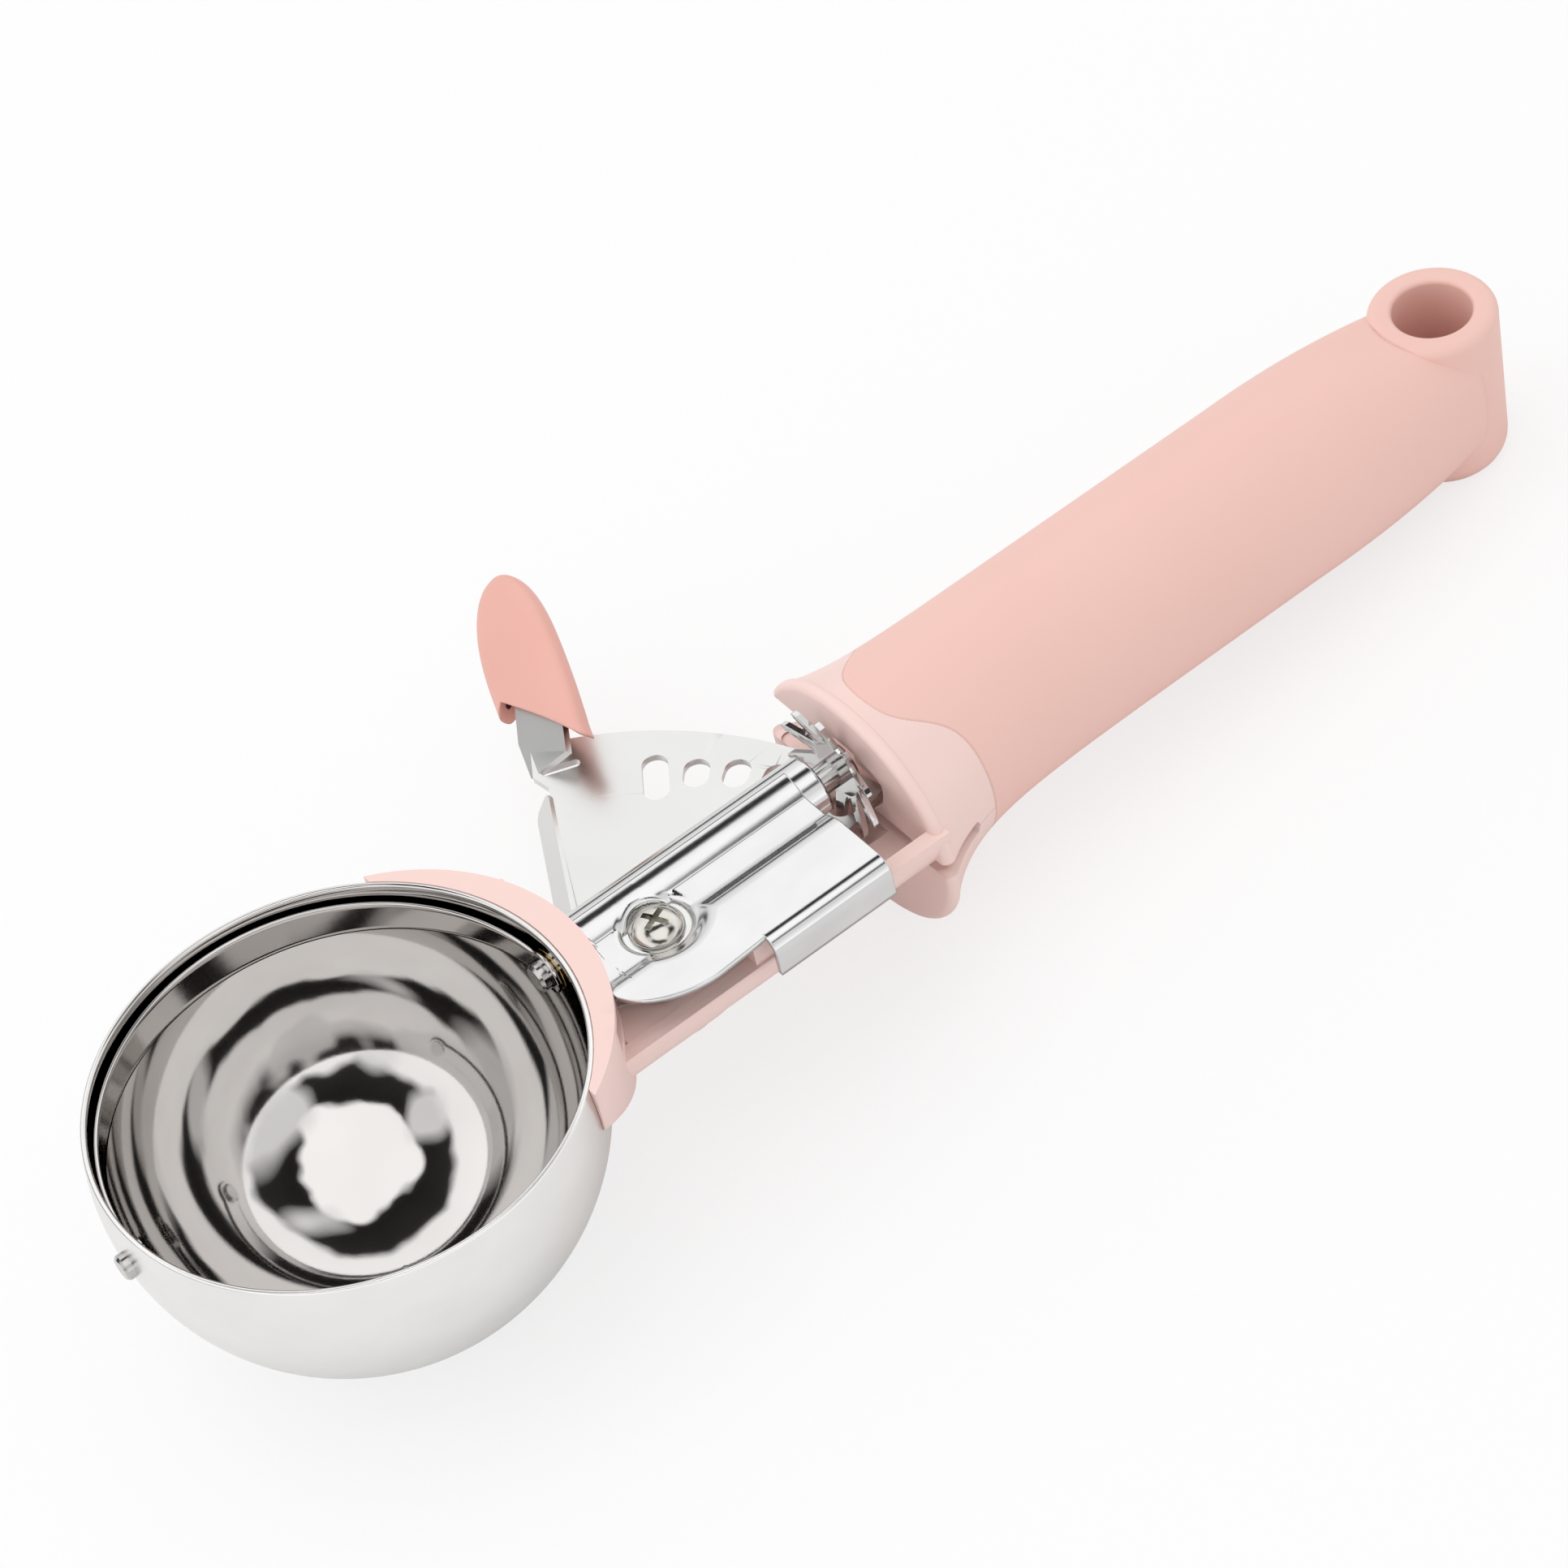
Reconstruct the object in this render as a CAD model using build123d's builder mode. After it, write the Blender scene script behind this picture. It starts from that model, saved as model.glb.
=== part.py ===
from build123d import *
from copy import copy
import os
from math import asin, atan2, cos, degrees, exp, radians, sin, sqrt

# Lever ice cream scoop, millimetres.
# Tool frame: the drive shaft runs along X, the bowl is centred on the origin and
# opens towards +Z, the handle points towards +X and the thumb lever towards +Y.
# Every piece is built in that frame and laid down on its bowl and tail at the end.

# bowl
bowl_radius = 31.8
bowl_wall = 0.8
rim_height = 6.1

# scraper
blade_gap = 0.4
blade_thickness = 0.6
blade_width = 5.8
blade_end_width = 4.4
blade_angle = 2.0
eye_radius = 3.0

# shaft and front pin
shaft_radius = 2.0
shaft_end = 77.6
pin_radius = 1.75
pin_stub = 1.2
bush_radius = 3.1
running_gap = 0.06

# lever
pivot_x = 43.0
pivot_y = -6.5
lever_plate_z = -7.0
lever_sheet = 1.0
hole_pitch = 9.0
hole_count = 6
mesh_radius = 33.4
hole_ring_radius = 33.6
hole_width = 3.5
hole_length = 4.8
end_slot_length = 7.8

# star wheel
wheel_teeth = 10
wheel_tip_radius = 9.2
wheel_root_radius = 4.6
wheel_sheet = 0.8
tooth_root_width = 2.3
tooth_tip_width = 0.9
tooth_lean = 1.6

# bracket
bracket_sheet = 0.8
tunnel_radius = 4.4
tunnel_front = 35.3
tunnel_rear = 71.8
recess_z = 1.8
groove_z = 3.0
raised_z = 4.2
flange_y = -20.2
flange_bottom = -0.8

# handle frame
hull_half_width = 17.6
hull_depth = 9.4
hull_top = -1.2
hull_wall = 2.2
deck_z = -8.2
guard_x = 77.6
guard_thickness = 1.8
guard_half_width = 18.2
guard_half_height = 17.1
guard_z = -8.0
grip_z = -3.8
neck_radius = 13.2
grip_radius = 13.4

# tail
hang_x = 177.6
hang_radius = 5.3
ring_radius = 8.6
ring_top = 7.5
tail_foot = -17.4

# screw stack on the lever pivot
screw_radius = 1.5
sleeve_radius = 3.0
head_radius = 3.6

wheel_x = pivot_x + sqrt(mesh_radius**2 - pivot_y**2)
mesh_angle = degrees(asin(-pivot_y / mesh_radius))
rest_tilt = degrees(
    asin(bowl_radius / sqrt(hang_x**2 + tail_foot**2)) - atan2(-tail_foot, hang_x)
)

across = Plane.YZ
pivot_plane = Plane((pivot_x, pivot_y, 0))
pieces = []


def finish(builder, label):
    """Names a finished piece and keeps it for the laying down."""
    builder.part.label = label
    pieces.append(builder.part)


def at_x(x, z=0.0):
    """Plane across the shaft, its local X along +Y and local Y along +Z."""
    return Plane((x, 0, z), x_dir=(0, 1, 0), z_dir=(1, 0, 0))


def polar(radius, angle):
    """Point on a circle about the lever pivot."""
    return (radius * cos(radians(angle)), radius * sin(radians(angle)))


# ---------------------------------------------------------------- bowl
inner_radius = bowl_radius - bowl_wall
rim_angle = degrees(asin(rim_height / bowl_radius))
with BuildPart() as bowl:
    with BuildSketch(Plane.XZ):
        with BuildLine():
            a = CenterArc((0, 0), bowl_radius, 270, 90 + rim_angle)
            b = CenterArc((0, 0), inner_radius, 270, 90 + rim_angle)
            Line(a @ 0, b @ 0)
            Line(a @ 1, b @ 1)
        make_face()
    revolve(axis=Axis.Z)
    fillet(bowl.edges().sort_by(Axis.Z)[-2:], bowl_wall * 0.3)
    with BuildSketch(at_x(0)):
        Circle(bush_radius)
    extrude(amount=bowl_radius + 2, mode=Mode.SUBTRACT)
    with BuildSketch(at_x(0)):
        Circle(pin_radius + running_gap)
    extrude(amount=-bowl_radius - 2, mode=Mode.SUBTRACT)
finish(bowl, "bowl")

# flanged bush that carries the shaft in the bowl wall
with BuildPart() as shaft_bush:
    with BuildSketch(at_x(inner_radius - 0.2)):
        Circle(bush_radius)
        Circle(shaft_radius + running_gap, mode=Mode.SUBTRACT)
    extrude(amount=bowl_radius - inner_radius + 1.9)
    with BuildSketch(at_x(bowl_radius + 0.9)):
        Circle(bush_radius + 0.9)
        Circle(shaft_radius + running_gap, mode=Mode.SUBTRACT)
    extrude(amount=0.8)
    chamfer(shaft_bush.edges().group_by(Axis.X)[0], 0.2)
finish(shaft_bush, "shaft_bush")

# ---------------------------------------------------------------- scraper
blade_outer = inner_radius - blade_gap
blade_inner = blade_outer - blade_thickness
with BuildPart() as scraper_blade:
    with BuildSketch(Plane.XZ):
        with BuildLine():
            top = ThreePointArc(
                (-bowl_radius, blade_end_width / 2),
                (0, blade_width / 2),
                (bowl_radius, blade_end_width / 2),
            )
            low = ThreePointArc(
                (-bowl_radius, -blade_end_width / 2),
                (0, -blade_width / 2),
                (bowl_radius, -blade_end_width / 2),
            )
            Line(top @ 0, low @ 0)
            Line(top @ 1, low @ 1)
        make_face()
    extrude(amount=-bowl_radius)
    with BuildSketch(at_x(-bowl_radius)):
        Circle(eye_radius)
    extrude(amount=2 * bowl_radius)
    Sphere(blade_outer, mode=Mode.INTERSECT)
    Sphere(blade_inner, mode=Mode.SUBTRACT)
    with BuildSketch(at_x(0)):
        Circle(shaft_radius)
    extrude(amount=bowl_radius, mode=Mode.SUBTRACT)
    with BuildSketch(at_x(0)):
        Circle(pin_radius - 0.35)
    extrude(amount=-bowl_radius, mode=Mode.SUBTRACT)
scraper_blade.part = scraper_blade.part.rotate(Axis.X, blade_angle)
finish(scraper_blade, "scraper_blade")

# stub pin that turns with the blade in the front of the bowl
with BuildPart() as front_pivot_pin:
    with BuildSketch(at_x(-blade_outer + 0.02)):
        Circle(pin_radius)
    extrude(amount=-(bowl_radius + pin_stub - blade_outer + 0.02))
    with BuildSketch(at_x(-blade_outer + 0.02)):
        Circle(pin_radius - 0.35)
    extrude(amount=blade_thickness + 0.1)
    with BuildSketch(at_x(-blade_inner + 0.08)):
        Circle(pin_radius + 0.35)
    extrude(amount=0.5)
    chamfer(front_pivot_pin.edges().group_by(Axis.X)[0], 0.35)
finish(front_pivot_pin, "front_pivot_pin")

# ---------------------------------------------------------------- shaft
with BuildPart() as drive_shaft:
    with BuildSketch(at_x(blade_inner - 1.6)):
        Circle(shaft_radius)
    extrude(amount=wheel_x - blade_inner + 1.6)
    with BuildSketch(at_x(wheel_x)):
        Circle(shaft_radius - 0.5)
        Rectangle(shaft_radius * 2, 2 * (shaft_radius - 0.8), mode=Mode.INTERSECT)
    extrude(amount=shaft_end - wheel_x)
    chamfer(drive_shaft.edges().group_by(Axis.X)[0], 0.4)
finish(drive_shaft, "drive_shaft")

# collar pressed on the shaft that takes its thrust behind the bush
with BuildPart() as thrust_collar:
    with BuildSketch(at_x(bowl_radius + 1.9)):
        Circle(shaft_radius + 0.9)
        Circle(shaft_radius, mode=Mode.SUBTRACT)
    extrude(amount=1.2)
finish(thrust_collar, "thrust_collar")

# stamped and dished wheel whose teeth drop through the holes of the lever plate
with BuildPart() as star_wheel:
    with BuildSketch(Plane.XZ):
        Polygon(
            (wheel_x, 0),
            (wheel_x, wheel_root_radius - 0.6),
            (wheel_x - tooth_lean, wheel_tip_radius + 0.4),
            (wheel_x - tooth_lean + wheel_sheet, wheel_tip_radius + 0.4),
            (wheel_x + wheel_sheet, wheel_root_radius - 0.6),
            (wheel_x + wheel_sheet, 0),
            align=None,
        )
    revolve(axis=Axis.X)
    with BuildSketch(at_x(wheel_x - 3)):
        Circle(wheel_root_radius)
        with PolarLocations(0, wheel_teeth, start_angle=-90):
            Polygon(
                (wheel_root_radius - 1, -tooth_root_width / 2),
                (wheel_tip_radius - 0.6, -tooth_tip_width / 2 - 0.15),
                (wheel_tip_radius, -tooth_tip_width / 4),
                (wheel_tip_radius, tooth_tip_width / 4),
                (wheel_tip_radius - 0.6, tooth_tip_width / 2 + 0.15),
                (wheel_root_radius - 1, tooth_root_width / 2),
                align=None,
            )
        Circle(shaft_radius - 0.5, mode=Mode.SUBTRACT)
    extrude(amount=6, mode=Mode.INTERSECT)
finish(star_wheel, "star_wheel")

with BuildPart() as wheel_retainer:
    with BuildSketch(at_x(wheel_x + wheel_sheet)):
        Circle(3.2)
        Circle(shaft_radius - 0.5, mode=Mode.SUBTRACT)
    extrude(amount=0.7)
    fillet(wheel_retainer.edges().group_by(Axis.X)[-1].sort_by(SortBy.LENGTH)[-1], 0.3)
finish(wheel_retainer, "wheel_retainer")

# ---------------------------------------------------------------- lever
plate_bottom = Plane((pivot_x, pivot_y, lever_plate_z - lever_sheet / 2))
ear_corner = polar(45.6, 76.8)
ear_foot = polar(40.4, 79.3)
ear_step = polar(37.7, 77.9)
edge_foot = polar(14.4, 102.9)
hub_radius = 6.4
web_width = 4.4
web_bend = 62.0
pad_heading = 69.0
pad_bend = 40.0

edge_heading = 62.1
edge_normal = (cos(radians(edge_heading + 90)), sin(radians(edge_heading + 90)))
pad_along = (cos(radians(pad_heading)), sin(radians(pad_heading)), 0)
pad_out = (-pad_along[1], pad_along[0], 0)
pad_plane = Plane(
    origin=(pivot_x + ear_corner[0], pivot_y + ear_corner[1], lever_plate_z),
    x_dir=pad_along,
    z_dir=(
        pad_out[0] * sin(radians(pad_bend)),
        pad_out[1] * sin(radians(pad_bend)),
        cos(radians(pad_bend)),
    ),
)
web_plane = Plane(
    origin=(pivot_x + ear_step[0], pivot_y + ear_step[1], lever_plate_z),
    x_dir=(cos(radians(edge_heading)), sin(radians(edge_heading)), 0),
    z_dir=(
        edge_normal[0] * sin(radians(web_bend)),
        edge_normal[1] * sin(radians(web_bend)),
        cos(radians(web_bend)),
    ),
)

with BuildPart() as lever_plate:
    with BuildSketch(plate_bottom):
        with BuildLine():
            rim = ThreePointArc(polar(38.4, 7.5), polar(40.8, 48), ear_corner)
            Polyline(ear_corner, ear_foot, ear_step)
            left = Polyline(ear_step, edge_foot, polar(hub_radius, 165))
            hub = ThreePointArc(left @ 1, polar(hub_radius, 225), polar(hub_radius, -74))
            Line(hub @ 1, rim @ 0)
        make_face()
        Circle(sleeve_radius + running_gap, mode=Mode.SUBTRACT)
        for hole in range(hole_count):
            angle = mesh_angle + hole * hole_pitch
            length = end_slot_length if hole == hole_count - 1 else hole_length
            with Locations(polar(hole_ring_radius, angle)):
                SlotOverall(length, hole_width, rotation=angle, mode=Mode.SUBTRACT)
        with Locations(polar(40.0, 73.9)):
            SlotOverall(5.2, 1.3, rotation=-23, mode=Mode.SUBTRACT)
    extrude(amount=lever_sheet)
    with BuildSketch(web_plane):
        with Locations((-13.6, web_width / 2 - 0.3)):
            RectangleRounded(25.6, web_width + 0.6, 1.4)
    extrude(amount=lever_sheet / 2, both=True)
    with BuildSketch(pad_plane):
        with BuildLine():
            Polyline(
                (-6.2, -5.6), (-4.6, 1.2), (2.0, 1.2), (12.0, -1.6),
                (12.0, -7.4), (2.0, -7.6), close=True,
            )
        make_face()
    extrude(amount=lever_sheet / 2, both=True)
finish(lever_plate, "lever_plate")

# moulded thumb pad pushed over the tab of the lever
pad_thickness = 4.0
with BuildPart() as thumb_pad:
    with BuildSketch(pad_plane):
        with BuildLine():
            start = (-4.4, -9.4)
            tip = (26.6, -4.6)
            heel = (3.4, 1.4)
            Spline(start, (10.5, -10.6), (22.5, -9.0), tip, tangents=[(1, -0.1), (0, 1)])
            Spline(tip, (22.0, 0.6), (11.5, 2.2), heel, tangents=[(0, 1), (-1, -0.1)])
            Polyline(heel, (-0.6, -0.2), (2.2, -3.4), start)
        make_face()
    extrude(amount=pad_thickness / 2, both=True)
    fillet(thumb_pad.edges().filter_by(lambda e: e.length > 15), pad_thickness * 0.42)
    with BuildSketch(pad_plane):
        with BuildLine():
            Polyline((-8, -7.5), (-8, 1.3), (2, 1.3), (12.0, -1.6), (12.0, -7.4), (2, -7.6), close=True)
        make_face()
    extrude(amount=lever_sheet / 2, both=True, mode=Mode.SUBTRACT)
finish(thumb_pad, "thumb_pad")

# ---------------------------------------------------------------- pivot stack
sleeve_bottom = deck_z
sleeve_top = recess_z - bracket_sheet
with BuildPart() as pivot_sleeve:
    with BuildSketch(pivot_plane.offset(sleeve_bottom)):
        Circle(sleeve_radius)
        Circle(screw_radius + 0.1, mode=Mode.SUBTRACT)
    extrude(amount=sleeve_top - sleeve_bottom)
finish(pivot_sleeve, "pivot_sleeve")

with BuildPart() as lever_washer:
    with BuildSketch(pivot_plane.offset(deck_z)):
        Circle(5.6)
        Circle(sleeve_radius, mode=Mode.SUBTRACT)
    extrude(amount=lever_plate_z - lever_sheet / 2 - 0.1 - deck_z)
finish(lever_washer, "lever_washer")

with BuildPart() as screw_washer:
    with BuildSketch(pivot_plane.offset(recess_z)):
        Circle(head_radius)
        Circle(screw_radius + 0.1, mode=Mode.SUBTRACT)
    extrude(amount=0.4)
finish(screw_washer, "screw_washer")

insert_length = 4.2
with BuildPart() as threaded_insert:
    with BuildSketch(pivot_plane.offset(deck_z - 0.2 - insert_length)):
        RegularPolygon(2.7, 12)
        Circle(screw_radius, mode=Mode.SUBTRACT)
    extrude(amount=insert_length)
finish(threaded_insert, "threaded_insert")

head_seat = recess_z + 0.4
with BuildPart() as pivot_screw:
    with BuildSketch(Plane((pivot_x, pivot_y, head_seat), x_dir=(1, 0, 0), z_dir=(0, -1, 0))):
        with BuildLine():
            Polyline((0, 0), (head_radius, 0), (head_radius, 0.7))
            ThreePointArc((head_radius, 0.7), (2.7, 1.75), (0, 2.2))
            Line((0, 2.2), (0, 0))
        make_face()
    revolve(axis=Axis((pivot_x, pivot_y, 0), (0, 0, 1)))
    with BuildSketch(pivot_plane.offset(head_seat)):
        Circle(screw_radius)
    extrude(amount=-(head_seat - deck_z + 0.2 + insert_length - 0.3))
    with BuildSketch(pivot_plane.offset(head_seat + 0.7)):
        Rectangle(3.6, 0.8, rotation=25)
        Rectangle(0.8, 3.6, rotation=25)
    extrude(amount=2, mode=Mode.SUBTRACT)
finish(pivot_screw, "pivot_screw")

# torsion spring that brings the lever back to the bowl
wire_radius = 0.4
coil_radius = 4.2
coil_pitch = 1.0
coil_turns = 4
coil_bottom = lever_plate_z + lever_sheet / 2 + 0.6
with BuildPart() as lever_return_spring:
    with BuildLine(pivot_plane.offset(coil_bottom)):
        coil = Helix(pitch=coil_pitch, height=coil_pitch * coil_turns, radius=coil_radius)
    with BuildSketch(Plane(origin=coil @ 0, z_dir=coil % 0)):
        RegularPolygon(wire_radius, 8)
    sweep()
    with BuildSketch(Plane(origin=coil @ 0, z_dir=(0, 1, 0))):
        RegularPolygon(wire_radius, 8)
    extrude(amount=11.0)
    with BuildSketch(Plane(origin=coil @ 1, z_dir=(0, -1, 0))):
        RegularPolygon(wire_radius, 8)
    extrude(amount=6.4)
finish(lever_return_spring, "lever_return_spring")

# ---------------------------------------------------------------- bracket
lobe_front = 31.9
raised_rear = 68.5
flange_front = 50.6
bend_radius = 1.6
groove_edge_y = -9.2
boss_reach = 6.4
dish_radius = 4.7
head_clearance = 0.25
tongue_bottom = -6.0
with BuildPart() as mechanism_bracket:
    # raised flat with its round front lobe
    with BuildSketch(Plane.XY.offset(raised_z - bracket_sheet)):
        with BuildLine():
            Line((tunnel_front, -2.6), (raised_rear, -2.6))
            Line((raised_rear, -2.6), (raised_rear, flange_y + bend_radius))
            Line((raised_rear, flange_y + bend_radius), (flange_front, flange_y + bend_radius))
            Line((flange_front, flange_y + bend_radius), (48.8, flange_y + 1.0))
            Line((48.8, flange_y + 1.0), (43.6, flange_y + 0.6))
            ThreePointArc((43.6, flange_y + 0.6), (36.4, -17.8), (lobe_front, -12.4))
            Line((lobe_front, -12.4), (tunnel_front, -2.6))
        make_face()
    extrude(amount=bracket_sheet)
    # groove beside the tunnel, with its round end about the screw
    with BuildSketch(Plane.XY.offset(groove_z - bracket_sheet)):
        with BuildLine():
            Line((tunnel_front - 4, -1), (raised_rear + 2, -1))
            Line((raised_rear + 2, -1), (raised_rear + 2, groove_edge_y))
            Line((raised_rear + 2, groove_edge_y), (pivot_x + 5.9, groove_edge_y))
            ThreePointArc(
                (pivot_x + 5.9, groove_edge_y),
                (pivot_x + 1.2, pivot_y - boss_reach),
                (pivot_x - 4.8, pivot_y - 4.9),
            )
            Line((pivot_x - 4.8, pivot_y - 4.9), (tunnel_front - 4, pivot_y - 4.4))
            Line((tunnel_front - 4, pivot_y - 4.4), (tunnel_front - 4, -1))
        pocket = make_face()
    extrude(amount=raised_z - groove_z + bracket_sheet)
    with BuildSketch(Plane.XY.offset(groove_z)):
        add(pocket)
        offset(amount=-bracket_sheet, mode=Mode.REPLACE)
    extrude(amount=raised_z, mode=Mode.SUBTRACT)
    # dish in which the screw stands
    with BuildSketch(pivot_plane.offset(recess_z - bracket_sheet)):
        Circle(dish_radius + bracket_sheet)
    extrude(amount=groove_z - recess_z)
    with BuildSketch(pivot_plane.offset(recess_z)):
        Circle(dish_radius)
    extrude(amount=raised_z, mode=Mode.SUBTRACT)
    # keep to the length of the stamping
    with BuildSketch(Plane.XY.offset(-10)):
        with Locations(((tunnel_front + raised_rear) / 2, -10)):
            Rectangle(raised_rear - tunnel_front, 40)
        with Locations((40, -14)):
            Rectangle(16, 16)
    extrude(amount=30, mode=Mode.INTERSECT)
    # tunnel over the shaft
    with BuildSketch(at_x(tunnel_front)):
        Circle(tunnel_radius)
        with Locations((0, -tunnel_radius / 2)):
            Rectangle(2 * tunnel_radius, tunnel_radius)
        Circle(tunnel_radius - bracket_sheet, mode=Mode.SUBTRACT)
        with Locations((0, -tunnel_radius)):
            Rectangle(2 * (tunnel_radius - bracket_sheet), 2 * tunnel_radius, mode=Mode.SUBTRACT)
        with Locations((0, -5.0 - 0.8)):
            Rectangle(20, 10, mode=Mode.SUBTRACT)
    extrude(amount=tunnel_rear - tunnel_front)
    with BuildSketch(at_x(tunnel_front - 1)):
        Circle(tunnel_radius - bracket_sheet)
        with Locations((0, -5)):
            Rectangle(2 * (tunnel_radius - bracket_sheet), 10)
    extrude(amount=tunnel_rear, mode=Mode.SUBTRACT)
    # side flange on a round bend, with the round relief at its rear
    with BuildSketch(at_x(flange_front)):
        with BuildLine():
            bend = FilletPolyline(
                (flange_y + 2 * bend_radius, raised_z - bracket_sheet / 2),
                (flange_y + bracket_sheet / 2, raised_z - bracket_sheet / 2),
                (flange_y + bracket_sheet / 2, flange_bottom),
                radius=bend_radius - bracket_sheet / 2,
            )
        trace(bend, line_width=bracket_sheet)
    extrude(amount=raised_rear - flange_front)
    with BuildSketch(Plane.XZ.offset(-flange_y - 2 * bracket_sheet)):
        with Locations((raised_rear - 0.6, 1.2)):
            Circle(1.5)
    extrude(amount=3 * bracket_sheet, mode=Mode.SUBTRACT)
    # front tongue welded to the back of the bowl
    with BuildSketch(Plane.XY.offset(tongue_bottom)):
        SlotArc(CenterArc((0, 0), bowl_radius + bracket_sheet / 2 + 0.02, -22, 44), bracket_sheet)
    extrude(amount=recess_z + 0.8 - tongue_bottom)
    with BuildSketch(at_x(bowl_radius + 0.5)):
        with Locations((-7.0, recess_z - bracket_sheet / 2)):
            Rectangle(5.4, bracket_sheet)
    extrude(amount=6)
    with BuildSketch(at_x(bowl_radius - 2)):
        Circle(bush_radius + 0.02)
    extrude(amount=5, mode=Mode.SUBTRACT)
    with BuildSketch(pivot_plane):
        Circle(screw_radius + 0.1)
    extrude(amount=raised_z, mode=Mode.SUBTRACT)
    # room for the screw head and the sleeve beside the tunnel
    with BuildSketch(pivot_plane.offset(recess_z)):
        Circle(head_radius + head_clearance)
    extrude(amount=tunnel_radius, mode=Mode.SUBTRACT)
    with BuildSketch(pivot_plane.offset(-tunnel_radius)):
        Circle(sleeve_radius + head_clearance)
    extrude(amount=tunnel_radius + sleeve_top, mode=Mode.SUBTRACT)
    Sphere(bowl_radius, mode=Mode.SUBTRACT)
finish(mechanism_bracket, "mechanism_bracket")

# ---------------------------------------------------------------- handle frame
collar_outer = 28.2
collar_centre = 7.0
collar_gap = 0.06
deck_edge_y = 4.6
sweep_clearance = 0.75
sweep_radius = 42.6
ear_sweep_radius = 48.6
tang_front = 80.0
neck_x = 93.0
tang_end = 160.0
tang_radius = 9.6
fit_gap = 0.05
guard_recess_radius = 7.0
guard_recess_depth = 3.2
pocket_bottom = -8.3
pocket_top = 1.0
flare_start = guard_x + guard_thickness - 0.4
flare_height = 3.6
flare_shallow = 1.0
flare_drop = 4.2
flare_fade = 2.9
drop_fade = 5.0
grip_end = 178.5


def oval(half_width, half_height, squareness=2.0):
    """Closed superellipse: |y / half_width|^n + |z / half_height|^n = 1."""
    points = []
    for step in range(16):
        turn = radians(22.5 * step)
        y = abs(cos(turn)) ** (2 / squareness) * (1 if cos(turn) > 0 else -1)
        z = abs(sin(turn)) ** (2 / squareness) * (1 if sin(turn) > 0 else -1)
        points.append((half_width * y, half_height * z))
    with BuildSketch(mode=Mode.PRIVATE) as section:
        with BuildLine():
            Spline(*points, periodic=True)
        make_face()
    return section.sketch


# outer form of the handle: a trumpet that dies away behind the guard, an even
# grip, and sections that grow narrow and squarer towards the hang loop
with BuildPart() as handle_form:
    for x in (flare_start, 80.2, 81.4, 83.0, 85.2, 88.0, 92.0):
        flare = flare_height * exp((flare_start - x) / flare_fade)
        drop = flare_drop * exp((flare_start - x) / drop_fade)
        half_height = neck_radius + flare - flare_shallow * exp((flare_start - x) / flare_fade)
        with BuildSketch(at_x(x, grip_z - drop)):
            add(oval(neck_radius + flare, half_height))
    for x, half_width, half_height, z, squareness in (
        (112, grip_radius, grip_radius, grip_z, 2.0),
        (134, grip_radius, grip_radius, grip_z, 2.0),
        (152, 13.3, 13.2, grip_z, 2.05),
        (163, 12.1, 12.4, grip_z - 0.05, 2.25),
        (172, 10.4, 11.4, grip_z - 0.3, 2.5),
        (grip_end, 8.95, 10.9, grip_z - 0.8, 2.7),
    ):
        with BuildSketch(at_x(x, z)):
            add(oval(half_width, half_height, squareness))
    loft()

# wavy seam between the frame and the grip, the same seen from above and below
seam_points = ((81.0, 0), (81.4, 3.4), (82.9, 5.9), (85.2, 7.7), (87.2, 9.2), (88.4, 11.2), (88.9, 13.6))
with BuildPart() as seam_block:
    with BuildSketch(Plane.XY.offset(-40)):
        with BuildLine():
            Spline([(x, -y) for x, y in reversed(seam_points[1:])] + list(seam_points))
            Polyline(seam_points[-1], (89.0, 30), (60, 30), (60, -30), (89.0, -30), (88.9, -13.6))
        make_face()
    extrude(amount=80)

# room that the lever swings into
with BuildPart() as lever_room:
    with BuildSketch(pivot_plane.offset(lever_plate_z - lever_sheet / 2 - sweep_clearance)):
        Circle(hub_radius + 0.8)
        with BuildLine():
            Line(polar(hub_radius + 1.2, -124), polar(sweep_radius, -42))
            ThreePointArc(polar(sweep_radius, -42), polar(sweep_radius, 0), polar(sweep_radius, 26))
            Line(polar(sweep_radius, 26), polar(ear_sweep_radius, 26))
            ThreePointArc(
                polar(ear_sweep_radius, 26), polar(ear_sweep_radius, 50), polar(ear_sweep_radius, 80)
            )
            Line(polar(ear_sweep_radius, 80), polar(hub_radius + 1.2, -124))
        make_face()
    extrude(amount=lever_sheet + 2 * sweep_clearance)
    # pocket in which the foot of the thumb tab comes to its stop
    with BuildSketch(Plane.XY.offset(pocket_bottom)):
        with BuildLine():
            FilletPolyline(
                (guard_x - 5, 3.8), (guard_x + 6.8, 3.8), (guard_x + 7.4, 8), (guard_x + 7.4, 19),
                radius=2,
            )
            Polyline((guard_x + 7.4, 19), (guard_x - 5, 19), (guard_x - 5, 3.8))
        make_face()
    extrude(amount=pocket_top - pocket_bottom)


def hull_section(inset):
    """Boat-shaped section below the deck, as a face across the shaft."""
    half = hull_half_width - inset
    depth = hull_depth - inset
    with BuildSketch(mode=Mode.PRIVATE) as section:
        with BuildLine():
            Line((half, 0), (-half, 0))
            Spline(
                (-half, 0), (-0.96 * half, -0.36 * depth), (-0.81 * half, -0.76 * depth),
                (0, -depth), (0.81 * half, -0.76 * depth), (0.96 * half, -0.36 * depth), (half, 0),
                tangents=[(0, -1), (0, 1)],
            )
        make_face()
    return section.sketch


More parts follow.
